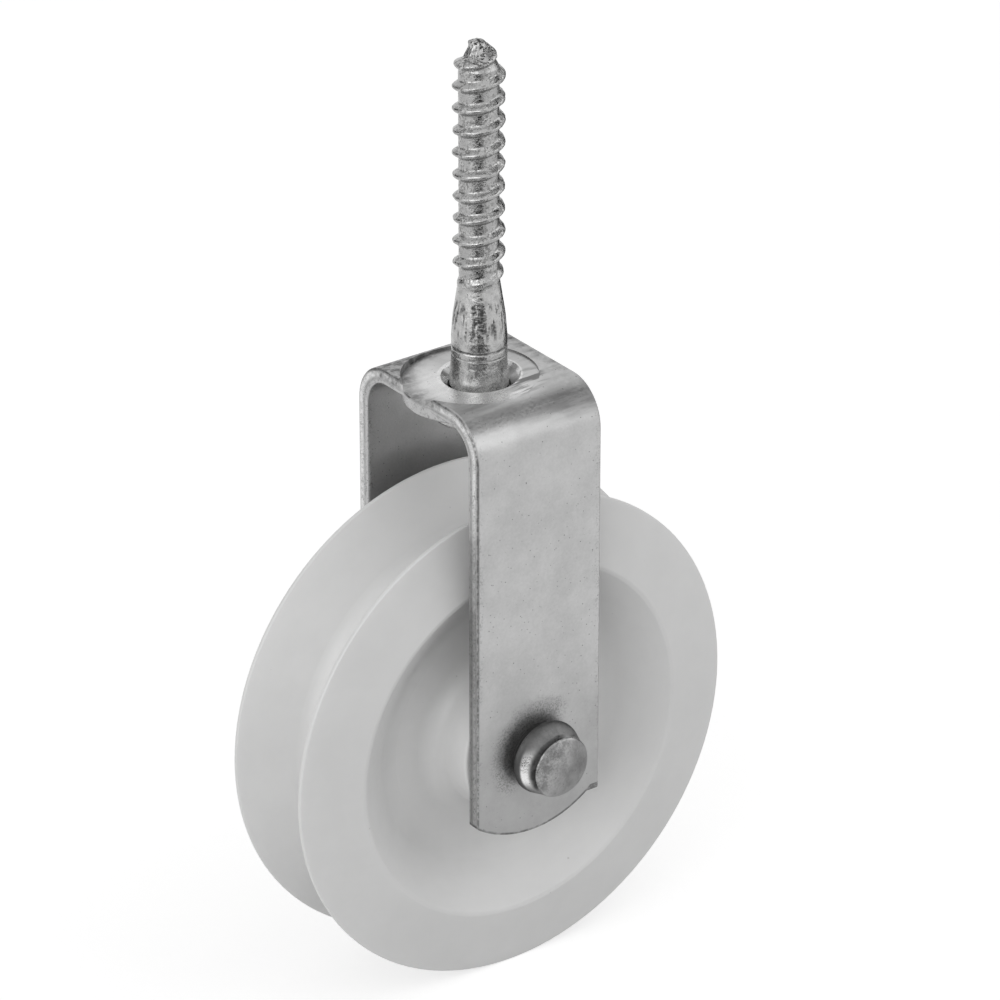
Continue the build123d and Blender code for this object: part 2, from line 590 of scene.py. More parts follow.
    def edge_wear(self, on: StrapSurface) -> Socket:
        """The specks along the strap's edges, the burrs at the feet's corners and the feet's dark rims.

        Args:
            on: The strap's surface.

        Returns:
            The dirt's mask.
        """
        tree = on.tree
        inside = tree.minus(self.half_width, tree.size(on.x))
        edge = tree.ramp(inside, 0.0, self.edge_width, 1.0, 0.0)
        specks = tree.times(edge, on.speck, tree.ramp(on.patch, *self.edge_specks), self.edge_soot)
        corner = tree.ramp(on.z, self.foot_z, self.foot_z + self.corner_height, 1.0, 0.0)
        burrs = tree.times(corner, edge, tree.ramp(on.patch, *self.corner_burrs), self.corner_soot)
        across = tree.minus(on.x, self.foot_middle)
        down = tree.minus(on.z, self.foot_z + self.foot_radius)
        start, end = self.rim_width
        rim = tree.ramp(tree.reach(across, down), self.foot_radius - start, self.foot_radius - end)
        foot = tree.math("LESS_THAN", on.z, self.foot_z + self.rim_height)
        return tree.most(tree.times(rim, foot, tree.ramp(on.patch, *self.rim_soot)), specks, burrs)

    def rivet_halo(self, on: StrapSurface) -> Socket:
        """Painted shade round the rivet, standing for the head's reflection and shadow, strongest above it.

        Args:
            on: The strap's surface.

        Returns:
            The painted shade's mask.
        """
        tree = on.tree
        above = tree.minus(on.z, self.axle_z)
        away = tree.plus(tree.reach(on.x, above), tree.times(on.patch, self.halo_ragged))
        ring = tree.ramp(away, *self.halo_reach)
        side = tree.ramp(tree.minus(above, tree.times(on.x, self.halo_slant)), *self.halo_above)
        broken = tree.ramp(tree.plus(on.speck, on.patch), *self.halo_broken)
        return tree.times(on.skin, tree.times(ring, side, broken, self.halo_shade))

    def bends(self, on: StrapSurface) -> Socket:
        """Dull streaks over both bends, darkened as a painted reflection and more towards the right end, and
        painted shade towards the feet.

        Args:
            on: The strap's surface.

        Returns:
            The mask of the streaks, the painted reflection and the painted shade.
        """
        tree = on.tree
        # Painted dark reflection over the outer bends, with streaks, darker towards the right end.
        over = tree.hump(tree.plus(on.z, tree.times(on.x, self.bend_slant)), *self.bend_band)
        outside = tree.ramp(tree.size(on.y), *self.bend_outside)
        worn = tree.plus(tree.ramp(on.fine, *self.bend_streaks), tree.ramp(on.x, *self.bend_shade))
        # Painted shade on the legs, darker towards the feet.
        legs_shaded = tree.times(on.skin, tree.ramp(on.z, self.foot_z, 0.5 * self.foot_z, self.foot_shade, 0.0))
        return tree.most(tree.times(over, outside, on.skin, worn), legs_shaded)

    def crown(self, on: StrapSurface) -> tuple[Socket, Socket, Socket, Socket]:
        """The crown's wear: its pressed seat, the hole's lip with a painted highlight, a painted shadow, and
        the streaks behind them with painted shade at the rear.

        Args:
            on: The strap's surface.

        Returns:
            The seat, its polish with painted highlights, its painted shadow and the streaks outside it,
            darkened towards the rear with painted shade.
        """
        tree = on.tree
        low = tree.ramp(on.z, *self.pressed_level)
        spread = tree.reach(on.x, on.y)
        pressed = tree.times(low, tree.ramp(spread, *self.pressed_reach))
        # Painted highlight over burnished metal on the lip, and on the seat, lighter towards the front left.
        lip = tree.times(low, tree.hump(spread, *self.lip))
        lit_front = tree.ramp(tree.plus(on.x, tree.times(on.y, self.front_slant)), *self.front_highlight)
        drawn = tree.times(pressed, tree.ramp(on.patch, *self.pressed_patches), lit_front)
        # Painted shadow: dark streaks over the seat's front right.
        shadow = tree.times(pressed, tree.ramp(on.fine, *self.shadow_streaks),
                            tree.hump(on.x, *self.shadow_across), tree.ramp(on.y, *self.shadow_fade))
        # Streaks on the crown, with painted shade darker towards its rear.
        back = tree.plus(on.y, tree.times(tree.size(on.x), self.rear_slant))
        rear = tree.times(tree.ramp(back, *self.rear_shade), tree.ramp(on.patch, *self.rear_patches))
        top = tree.times(tree.ramp(on.z, *self.crown_level), tree.ramp(on.fine, *self.crown_streaks), rear)
        streaks = tree.times(top, tree.minus(1.0, tree.times(pressed, self.pressed_clean)))
        return pressed, tree.most(drawn, lip), shadow, streaks

    def wear(self, on: Surface) -> Masks:
        """The strap's own wear and painted light.

        Args:
            on: The material's tree and its shared sockets.

        Returns:
            The dirt, the polish and the scratches, each a mask from 0 to 1.
        """
        tree, place = on.tree, on.place
        x, y, z = tree.split(place)
        patch = tree.noise(place, *self.patch_noise)
        speck = tree.patches(place, self.specks)
        fine = tree.place(on.groups.streaks, Place=place, Stretch=self.fine_stretch,
                          Scale=self.fine_scale)["Streaks"]
        depth = self.under_skin(tree, y, z)
        skin = tree.ramp(depth, *self.outer_skin)
        strap = StrapSurface(tree, place, x, y, z, patch, speck, fine, depth, skin)
        cut_dark, cut_bright = self.sheared_side(strap)
        pressed, drawn, shadow, streaks = self.crown(strap)
        dirt_and_shade = tree.most(self.bends(strap), streaks, shadow, cut_dark, self.edge_wear(strap),
                         self.rivet_halo(strap))
        scratches = tree.most(tree.times(streaks, self.streak_scratches),
                              tree.times(pressed, fine, self.pressed_scratches))
        return dirt_and_shade, tree.most(drawn, cut_bright), scratches


@dataclass(frozen=True)
class RivetFinish(ZincFinish):
    """The rivet's plating, with painted shade at the neck and in the crease round the struck face, and a
    painted highlight on the barrel.
    """

    name: str = "rivet_zinc"
    light: Colour = (0.4, 0.4, 0.4)
    dark: Colour = (0.2, 0.2, 0.2)
    shine: float = 0.24
    dull: float = 0.38
    cloud_scale: float = 520.0
    relief: float = 0.5
    axle_z: float = -44.2 * MM
    neck_y: float = -12.1 * MM
    crease: float = 2.5 * MM
    stains: Patches = Patches(800.0, 4.0, 0.75, (0.42, 0.62))
    slant: float = 1.5
    struck_side: Ramp = mm(-2.5, 1.5)
    # Painted shade at the rivet's neck, where the head meets the strap.
    neck_fade: Ramp = (*mm(1.0, 1.8), 1.0, 0.6)
    neck_end: Ramp = (*mm(2.2, 2.4), 1.0, 0.0)
    neck_shading: float = 0.9
    # Painted shade in the crease round the struck face, on its upper left.
    fold_rise: Point = mm(0.5, 0.2)
    fold_fall: Point = mm(0.1, 0.35)
    crease_shading: Ramp = (0.0, 1.0, 0.8, 0.97)
    # Painted highlight: a bright crescent on the left side of the barrel.
    glint_band: Band = (mm(1.3, 1.5), mm(1.8, 2.1))
    lit_height: Band = (mm(-3.5, -1.5), mm(0.8, 2.6))
    lit_side: Ramp = mm(0.5, 2.5)
    # Painted shade on the face, darker towards its lower right.
    low_shade: Ramp = (*mm(-6.0, 1.0), 0.4, 0.0)
    face_edge: float = 0.3 * MM
    face_soot: float = 0.45

    def wear(self, on: Surface) -> Masks:
        """The rivet's own wear, painted shade and painted highlight.

        Args:
            on: The material's tree and its shared sockets.

        Returns:
            The dirt, the polish and the scratches, each a mask from 0 to 1.
        """
        tree = on.tree
        x, y, z = tree.split(on.place)
        patch = tree.patches(on.place, self.stains)
        depth = tree.minus(self.neck_y, y)
        near = tree.math("GREATER_THAN", 0.0, y)
        above = tree.minus(z, self.axle_z)
        upper_left = tree.minus(above, tree.times(x, self.slant))
        struck = tree.ramp(upper_left, *self.struck_side)
        # Painted highlight on the barrel's left side.
        glint = tree.times(tree.hump(depth, *self.glint_band), near)
        polish_and_highlight = tree.times(glint, tree.hump(above, *self.lit_height),
                            tree.ramp(tree.times(x, -1.0), *self.lit_side))
        # Painted shade at the neck.
        neck_shade = tree.times(tree.ramp(depth, *self.neck_fade), tree.ramp(depth, *self.neck_end), near,
                          self.neck_shading)
        neck_shade = tree.times(neck_shade, tree.minus(1.0, polish_and_highlight))
        # Painted shade in the crease.
        crease_shade = tree.hump(depth, [self.crease - before for before in self.fold_rise],
                         [self.crease + after for after in self.fold_fall])
        crease_shade = tree.times(crease_shade, struck, tree.ramp(patch, *self.crease_shading))
        face = tree.ramp(depth, self.crease, self.crease + self.face_edge)
        # Patchy stains on the struck side, and painted shade darker towards the face's lower right.
        stain_and_shade = tree.most(tree.times(patch, struck, self.face_soot), tree.ramp(upper_left, *self.low_shade))
        return tree.most(neck_shade, crease_shade, tree.times(face, stain_and_shade)), polish_and_highlight, patch


@dataclass(frozen=True)
class ScrewFinish(ZincFinish):
    """The screw's plating: dark in the grip scores and in patches of scale."""

    name: str = "screw_zinc"
    light: Colour = (0.56, 0.56, 0.555)
    dark: Colour = (0.3, 0.3, 0.3)
    shine: float = 0.18
    dull: float = 0.3
    cloud_scale: float = 1100.0
    relief: float = 0.8
    stains: Patches = Patches(1100.0, 4.0, 0.75, (0.38, 0.6))
    grain_share: Ramp = (0.3, 0.7)
    thread_scale: Ramp = (*mm(10.0, 12.0), 0.1, 0.8)
    point_scale: Ramp = (*mm(37.5, 39.5), 0.0, 0.9)
    scale_soot: float = 0.8
    # Darker in the grip scores and the rings below them.
    score_darkening: float = 0.95

    def wear(self, on: Surface) -> Masks:
        """The screw's own wear.

        Args:
            on: The material's tree and its shared sockets.

        Returns:
            The dirt, the polish and the scratches, each a mask from 0 to 1.
        """
        tree = on.tree
        score = tree.add("ShaderNodeAttribute", attribute_name=SCORE_LAYER).outputs["Fac"]
        _, _, height = tree.split(on.place)
        patch = tree.patches(on.place, self.stains)
        scaled = tree.plus(tree.ramp(height, *self.thread_scale), tree.ramp(height, *self.point_scale))
        scale = tree.times(patch, tree.ramp(on.grain, *self.grain_share), scaled, self.scale_soot)
        return tree.most(tree.times(score, self.score_darkening), scale), 0.0, scale


@dataclass(frozen=True)
class MilkyPlastic:
    """The wheel's white moulded plastic, a little translucent, with faint clouds and specks."""

    name: str = "milky_plastic"
    light: Colour = (0.76, 0.76, 0.757)
    dark: Colour = (0.72, 0.72, 0.717)
    speck: Colour = (0.3, 0.29, 0.28)
    cloud_scale: float = 55.0
    cloud_share: float = 0.7
    grain_scale: float = 1800.0
    speck_scale: float = 2600.0
    speck_share: float = 0.003
    speck_strength: float = 0.35
    ring_scale: float = 700.0
    ring_stretch: Triple = (0.4, 1.0, 0.4)
    smooth: float = 0.36
    rough: float = 0.48
    glow: float = 0.3
    glow_depth: float = 2.0 * MM
    relief: float = 0.08
    relief_reach: float = 0.03 * MM

    def material(self, groups: Groups) -> bpy.types.Material:
        """Builds the material.

        Args:
            groups: The shared shader groups.

        Returns:
            The new material.
        """
        made, tree, shader = new_material(self.name)
        place = tree.add("ShaderNodeTexCoord").outputs["Object"]
        mottle = tree.place(groups.mottle, Place=place, Cloud_Scale=self.cloud_scale,
                            Grain_Scale=self.grain_scale, Pit_Scale=self.speck_scale,
                            Pit_Share=self.speck_share)
        rings = tree.place(groups.streaks, Place=place, Stretch=self.ring_stretch, Scale=self.ring_scale)
        shade = tree.plus(tree.times(mottle["Cloud"], self.cloud_share),
                          tree.times(rings["Streaks"], 1 - self.cloud_share))
        specks = tree.times(mottle["Pits"], self.speck_strength)
        tree.fill(shader, {
            "Base Color": tree.mix(specks, tree.mix(shade, self.dark, self.light), self.speck),
            "Roughness": tree.ramp(mottle["Grain"], 0.0, 1.0, self.smooth, self.rough),
            "Subsurface Weight": self.glow,
            "Subsurface Radius": (1.0, 1.0, 1.0),
            "Subsurface Scale": self.glow_depth,
            "Normal": tree.bump(mottle["Grain"], self.relief, self.relief_reach),
        })
        return made


def seen_directly(tree: Tree) -> Socket:
    """A mask that is 1 for the camera, reflections and glass, and 0 for the light on a surface."""
    rays = tree.add("ShaderNodeLightPath").outputs
    return tree.most(rays["Is Camera Ray"], rays["Is Glossy Ray"], rays["Is Transmission Ray"])


@dataclass(frozen=True)
class StudioWhite:
    """The floor: white where it is seen, with the object's shadow kept."""

    name: str = "studio_white"
    lift: float = 0.62
    paint: float = 0.55
    roughness: float = 0.9
    gloss: float = 0.1

    def material(self) -> bpy.types.Material:
        """Builds the floor's material.

        Returns:
            The new material.
        """
        made, tree, shader = new_material(self.name)
        tree.fill(shader, {"Base Color": grey(self.paint), "Roughness": self.roughness,
                           "Specular IOR Level": self.gloss})
        strength = tree.times(seen_directly(tree), self.lift)
        glow = tree.add("ShaderNodeEmission", {"Color": grey(1.0), "Strength": strength})
        both = tree.add("ShaderNodeAddShader", {0: shader.outputs[0], 1: glow.outputs[0]})
        tree.set(made.node_tree.nodes["Material Output"].inputs["Surface"], both.outputs[0])
        return made


@dataclass(frozen=True)
class FlagBlack:
    """The black cards that shade the metal's shine."""

    name: str = "flag_black"
    paint: float = 0.02

    def material(self) -> bpy.types.Material:
        """Builds the cards' material.

        Returns:
            The new material.
        """
        made, tree, shader = new_material(self.name)
        tree.fill(shader, {"Base Color": grey(self.paint), "Roughness": 1.0})
        return made


def link_object(name: str, data: object) -> bpy.types.Object:
    """Makes an object at the origin and puts it in the scene.

    Args:
        name: The object's name.
        data: Its mesh, lamp or camera.

    Returns:
        The new object.
    """
    made = bpy.data.objects.new(name, data)
    bpy.context.scene.collection.objects.link(made)
    return made


def to_mesh(shape: bmesh.types.BMesh, mesh: bpy.types.Mesh) -> bpy.types.Mesh:
    """Writes a worked shape to a mesh and frees the shape.

    Args:
        shape: The worked shape.
        mesh: The mesh that takes it.

    Returns:
        The same mesh.
    """
    shape.to_mesh(mesh)
    shape.free()
    return mesh


def finish_piece(name: str, mesh: bpy.types.Mesh, material: bpy.types.Material, sharp_degrees: float,
                 body: str) -> bpy.types.Object:
    """Makes a smooth-shaded object at the origin from a finished mesh.

    Args:
        name: The piece's name.
        mesh: Its mesh, in place.
        material: Its finish.
        sharp_degrees: Edges sharper than this stay crisp.
        body: The body it rides on.

    Returns:
        The new object.
    """
    mesh.materials.clear()
    mesh.materials.append(material)
    mesh.shade_smooth()
    mesh.set_sharp_from_angle(angle=math.radians(sharp_degrees))
    piece = link_object(name, mesh)
    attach(piece, body)
    return piece


def close_up(shape: bmesh.types.BMesh) -> None:
    """Merges doubled points and turns every face outwards.

    Args:
        shape: The mesh to close.
    """
    bmesh.ops.remove_doubles(shape, verts=shape.verts, dist=TOUCH)
    bmesh.ops.dissolve_degenerate(shape, edges=shape.edges, dist=TOUCH / 10)
    bmesh.ops.recalc_face_normals(shape, faces=shape.faces)


def spin_into(shape: bmesh.types.BMesh, outline: Sequence[Point], steps: int, axis: Vector, out: Vector,
              centre: Vector) -> None:
    """Turns a half section about an axis and adds the skin to a mesh.

    Args:
        shape: The mesh that gets the skin.
        outline: Radius and height pairs along the section.
        steps: Faces round the axis.
        axis: The unit axis.
        out: The unit direction of the first column.
        centre: The point on the axis at height zero.
    """
    side = axis.cross(out)
    rings = []
    for radius, height in outline:
        turns = [math.tau * step / steps for step in range(steps if radius > TOUCH else 1)]
        ways = [out * math.cos(turn) + side * math.sin(turn) for turn in turns]
        rings.append([shape.verts.new(centre + axis * height + way * radius) for way in ways])
    for low, high in zip(rings, rings[1:]):
        for step in range(steps):
            after = (step + 1) % steps
            corners = [low[step % len(low)], low[after % len(low)], high[after % len(high)],
                       high[step % len(high)]]
            unique = list(dict.fromkeys(corners))
            if len(unique) > 2:
                shape.faces.new(unique)


def arc(centre: Point, radius: float, start: float, end: float, steps: int = 6) -> list[Point]:
    """Points along an arc of a section.

    Args:
        centre: The arc's centre.
        radius: Its radius.
        start: Its first angle in degrees, from the radius direction towards the height.
        end: Its last angle.
        steps: The number of spans.

    Returns:
        The points, both ends included.
    """
    angles = [math.radians(start + (end - start) * step / steps) for step in range(steps + 1)]
    return [(centre[0] + radius * math.cos(a), centre[1] + radius * math.sin(a)) for a in angles]


def subdivided(outline: Sequence[Point], longest: float) -> list[Point]:
    """Cuts the long spans of an outline.

    Args:
        outline: The points.
        longest: The longest span that stays whole.

    Returns:
        The outline with the added points.
    """
    result = [outline[0]]
    for (r0, h0), (r1, h1) in zip(outline, outline[1:]):
        parts = max(1, math.ceil(math.hypot(r1 - r0, h1 - h0) / longest))
        result += [(r0 + (r1 - r0) * k / parts, h0 + (h1 - h0) * k / parts) for k in range(1, parts + 1)]
    return result


def grow(name: str, group: Group, values: dict[str, object]) -> bpy.types.Mesh:
    """Runs a geometry group and keeps its result as a plain mesh.

    Args:
        name: The mesh's name.
        group: The geometry group.
        values: Input name to value.

    Returns:
        The evaluated mesh.
    """
    seed = link_object(name + "_seed", bpy.data.meshes.new(name + "_seed"))
    modifier = seed.modifiers.new("grow", "NODES")
    modifier.node_group = group.tree
    for item in group.tree.interface.items_tree:
        if item.in_out == "INPUT" and item.name in values:
            modifier[item.identifier] = values[item.name]
    graph = bpy.context.evaluated_depsgraph_get()
    mesh = bpy.data.meshes.new_from_object(seed.evaluated_get(graph))
    mesh.name = name
    seed.modifiers.remove(modifier)
    bpy.data.objects.remove(seed)
    return mesh


class Box(NamedTuple):
    """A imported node's lowest and highest corners, in metres."""

    low: Vector
    high: Vector


@dataclass(frozen=True)
class Places:
    """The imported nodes' boxes, which tell the sub-assemblies where they sit."""

    wheel: Box
    strap: Box
    screw: Box
    rivet: Box

    @classmethod
    def read(cls) -> "Places":
        """Reads the nodes' boxes."""
        nodes = ("pulley_wheel", "fork_strap", "wood_screw", "axle_rivet")
        return cls(*[Box(*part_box(node)) for node in nodes])

    @property
    def axle_z(self) -> float:
        """The axle's height, at the wheel's middle."""
        return (self.wheel.low.z + self.wheel.high.z) / 2


def dress(node: bpy.types.Object, material: bpy.types.Material) -> None:
    """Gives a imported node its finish.

    Args:
        node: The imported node's object.
        material: Its material.
    """
    if not node.material_slots:
        node.data.materials.append(material)
    for slot in node.material_slots:
        slot.material = material


@dataclass
class ForkStrap:
    """The bent strap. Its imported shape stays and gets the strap's own wear."""

    places: Places
    node: bpy.types.Object

    def build(self, groups: Groups) -> list[bpy.types.Object]:
        """Dresses the strap.

        Args:
            groups: The shared shader groups.

        Returns:
            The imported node.
        """
        low, high = self.places.strap.low, self.places.strap.high
        finish = StrapFinish(axle_z=self.places.axle_z, foot_z=low.z, half_depth=high.y)
        dress(self.node, finish.material(groups))
        return [self.node]


class FlashRing(NamedTuple):
    """The flakes on one face of the web: the face's side, their seed and their first turn in degrees."""

    name: str
    side: int
    seed: int
    turn: float


@dataclass
class PlasticWheel:
    """The moulded wheel, with the flakes of flash that trimming left at the hub's foot."""

    places: Places
    node: bpy.types.Object
    hub_radius: float = 9.0 * MM
    web_half: float = 3.7 * MM
    lift: float = 0.3 * MM
    flake_count: int = 5
    flake_length: float = 1.3 * MM
    flake_width: float = 0.16 * MM
    flake_faces: tuple[int, int] = (10, 8)
    flake_spread: Point = (0.4, 1.2)
    sharp_degrees: float = 60.0
    flash: tuple[FlashRing, ...] = (FlashRing("near_hub_flash", -1, 4, 92.0),
                                    FlashRing("far_hub_flash", 1, 9, 207.0))

    def flakes_group(self) -> Group:
        """Builds the tree that lays thin flakes along a circle.

        Returns:
            A geometry group whose inputs are the circle, the flakes' size and the seed.
        """
        number, whole = SocketKind.NUMBER, SocketKind.WHOLE
        group = Group(
            "mould_flash",
            TreeKind.GEOMETRY,
            {"Count": whole, "Radius": number, "Length": number, "Width": number, "Seed": whole,
             "Centre": SocketKind.VECTOR, "Turn": SocketKind.VECTOR, "Finish": SocketKind.FINISH},
            {"Geometry": SocketKind.SHAPE},
        )
        get = group.get
        ring = group.add("GeometryNodeMeshCircle", {"Vertices": get["Count"], "Radius": get["Radius"]})
        segments, rings = self.flake_faces
        flake = group.add("GeometryNodeMeshUVSphere", {"Segments": segments, "Rings": rings, "Radius": 0.5})
        least, most = self.flake_spread
        size = group.add("FunctionNodeRandomValue", {2: least, 3: most, "Seed": get["Seed"]},
                         data_type="FLOAT")
        shape = group.vector(get["Width"], group.times(get["Length"], size.outputs[1]), get["Width"])
        spoke = group.add("GeometryNodeInputPosition").outputs[0]
        turn = group.add("FunctionNodeAlignRotationToVector", {"Vector": spoke}, axis="X").outputs[0]
        spread = group.add("GeometryNodeInstanceOnPoints", {"Points": ring.outputs[0], "Scale": shape,
                                                            "Instance": flake.outputs[0], "Rotation": turn})
        real = group.add("GeometryNodeRealizeInstances", {"Geometry": spread.outputs[0]})
        moved = group.add("GeometryNodeTransform", {"Geometry": real.outputs[0], "Rotation": get["Turn"],
                                                    "Translation": get["Centre"]})
        done = group.add("GeometryNodeSetMaterial", {"Geometry": moved.outputs[0], "Material": get["Finish"]})
        group.give(Geometry=done.outputs[0])
        return group

    def build(self, groups: Groups) -> list[bpy.types.Object]:
        """Dresses the wheel and builds the flakes on both faces of its web.

        Args:
            groups: The shared shader groups.

        Returns:
            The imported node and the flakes.
        """
        plastic = MilkyPlastic().material(groups)
        dress(self.node, plastic)
        pieces = [self.node]
        group = self.flakes_group()
        for ring in self.flash:
            mesh = grow(ring.name, group, {
                "Count": self.flake_count,
                "Radius": self.hub_radius + self.lift,
                "Length": self.flake_length,
                "Width": self.flake_width,
                "Seed": ring.seed,
                "Centre": (0.0, ring.side * (self.web_half + self.lift), self.places.axle_z),
                "Turn": (math.radians(90), math.radians(ring.turn), 0.0),
                "Finish": plastic,
            })
            pieces.append(finish_piece(ring.name, mesh, plastic, self.sharp_degrees, "wheel"))
        return pieces


@dataclass
class AxleRivet:
    """The rivet: hammered head on the near side, shaft, and factory head on the far side."""

    places: Places
    shaft_radius: float = 3.0 * MM
    neck_radius: float = 3.85 * MM
    neck_height: float = 0.5 * MM
    flare_height: float = 0.8 * MM
    head_radius: float = 4.5 * MM
    head_round: float = 0.6 * MM
    head_dome: float = 0.42 * MM
    face_inset: float = 1.32 * MM
    ring_height: float = 0.85 * MM
    ring_depth: float = 0.06 * MM
    far_radius: float = 4.75 * MM
    far_rim: float = 0.5 * MM
    dome_steps: int = 16
    columns: int = 150
    span: float = 0.14 * MM
    sharp_degrees: float = 40.0
    face_start: float = 2.6 * MM
    face_blend: float = 0.6 * MM
    dent_size: float = 1.7 * MM
    dent_depth: float = 0.16 * MM
    dent_shift: Triple = (3.1, 0.7, 5.2)
    swell_size: float = 2.4 * MM
    swell_height: float = 0.03 * MM
    swell_gain: float = 3.0
    swell_blend: float = 1.5 * MM
    grain_size: float = 0.35 * MM
    grain_depth: float = 0.022 * MM
    grain_gain: float = 1.5
    lean: float = 1.1 * MM
    lean_start: float = 0.9 * MM
    lean_reach: float = 1.45 * MM
    lean_taper: float = 0.15
    lean_across: float = 0.76
    lean_down: float = 0.78
    fold_depth: float = 0.6 * MM
    fold_width: float = 0.22 * MM
    fold_slant: float = 1.5

    @property
    def near_seat(self) -> float:
        """Where the hammered head sits: the strap's near face."""
        return self.places.strap.low.y

    @property
    def far_seat(self) -> float:
        """Where the factory head sits: the strap's far face."""
        return self.places.strap.high.y

    def outline(self) -> list[Point]:
        """The rivet's half section, from the hammered face to the factory dome.

        Returns:
            Radius and Y pairs, in metres.
        """
        face = self.places.rivet.low.y + self.grain_depth
        near, far = self.near_seat, self.far_seat
        soft = self.head_round
        shoulder = near - self.neck_height - self.flare_height
        ring = near - self.neck_height - self.ring_height
        rise = self.places.rivet.high.y - far - self.far_rim
        dome_radius = (self.far_radius**2 + rise**2) / (2 * rise)
        widest = math.degrees(math.asin(self.far_radius / dome_radius))
        dome_centre = (0.0, far + self.far_rim + rise - dome_radius)
        dome = arc(dome_centre, dome_radius, 90 - widest, 90, self.dome_steps)
        return [
            (0.0, face),
            (self.head_radius - self.face_inset, face + 0.5 * self.head_dome),
            *arc((self.head_radius - soft, face + self.head_dome + soft), soft, -80, 0),
            (self.head_radius, ring - self.ring_depth),
            (self.head_radius - self.ring_depth, ring),
            (self.head_radius, ring + self.ring_depth),
            (self.head_radius - 0.5 * self.ring_depth, shoulder),
            (self.neck_radius, near - self.neck_height),
            (self.neck_radius, near),
            (self.shaft_radius, near),
            (self.shaft_radius, far),
            (self.far_radius, far),
            (self.far_radius, far + self.far_rim),
            *dome[1:-1],
            (0.0, self.places.rivet.high.y),
        ]

    def hammer(self, point: Vector) -> Vector:
        """Moves one point of the near head as the hammer left it.

        Args:
            point: The point, in place.

        Returns:
            The moved point.
        """
        depth = self.near_seat - self.neck_height - point.y
        if depth <= 0:
            return point
        flat = Vector((point.x, 0.0, point.z - self.places.axle_z))
        part = clamped((depth - self.lean_start) / self.lean_reach)
        lean = part * part * (3 - 2 * part)
        upper_left = clamped((flat.z - self.fold_slant * flat.x) / self.head_radius)
        past = (depth - self.lean_start - self.lean_reach) / self.fold_width
        if flat.length > self.fold_depth:
            flat -= flat.normalized() * (self.fold_depth * upper_left * math.exp(-(past**2)))
        flat = flat * (1 - self.lean_taper * lean)
        flat += Vector((self.lean_across, 0.0, -self.lean_down)) * (self.lean * lean)
        point = Vector((flat.x, point.y, flat.z + self.places.axle_z))
        away = flat.length / self.head_radius
        fine = noise.noise(point / self.grain_size) * self.grain_depth
        facing = clamped((depth - self.face_start) / self.face_blend)
        dent = abs(noise.noise(point / self.dent_size + Vector(self.dent_shift))) * self.dent_depth
        moved = point + Vector((0, facing * (dent + fine * (self.grain_gain - away)), 0))
        bulge = noise.noise(point / self.swell_size) * self.swell_gain * self.swell_height + fine
        share = clamped(depth / self.swell_blend) * (1 - facing)
        if flat.length > TOUCH:
            moved += flat.normalized() * min(share * bulge, self.swell_height)
        return moved

    def build(self, groups: Groups) -> list[bpy.types.Object]:
        """Builds the rivet.

        Args:
            groups: The shared shader groups.

        Returns:
            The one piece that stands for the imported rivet.
        """
        zinc = RivetFinish(axle_z=self.places.axle_z, neck_y=self.near_seat - self.neck_height,
                           crease=self.lean_start + self.lean_reach).material(groups)
        shape = bmesh.new()
        centre = Vector((0, 0, self.places.axle_z))
        outline = subdivided(self.outline(), self.span)
        spin_into(shape, outline, self.columns, Vector((0, 1, 0)), Vector((1, 0, 0)), centre)
        for point in shape.verts:
            point.co = self.hammer(point.co)
        close_up(shape)
        mesh = to_mesh(shape, bpy.data.meshes.new("hammered_rivet"))
        rivet = finish_piece("hammered_rivet", mesh, zinc, self.sharp_degrees, "fork")
        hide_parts("axle_rivet")
        return [rivet]


@dataclass(frozen=True)
class RodSizes:
    """The threaded rod's sizes. Each is an input of the rod's tree."""

    top: float
    bottom: float = -0.7 * MM
    flare_top: float = 1.6 * MM
    collar_radius: float = 3.4 * MM
    shank_radius: float = 3.2 * MM
    shank_top: float = 4.6 * MM
    waist_radius: float = 3.0 * MM
    waist_height: float = 7.2 * MM
    root_radius: float = 2.3 * MM
    root_start: float = 11.8 * MM
    crest_radius: float = 3.03 * MM
    pitch: float = 2.67 * MM
    thread_start: float = 13.3 * MM
    thread_turn: float = math.radians(100.0)
    fade_start: float = 10.2 * MM
    fade_end: float = 13.6 * MM
    point_start: float = 37.3 * MM
    point_radius: float = 0.75 * MM
    tip_round: float = 0.3 * MM
    tip_dents: float = 0.28 * MM
    pitting: float = 0.02 * MM
    score_depth: float = 0.11 * MM

    def inputs(self) -> dict[str, float]:
        """The tree's number inputs: name to value."""
        return {field.name.replace("_", " ").title(): getattr(self, field.name) for field in fields(self)}


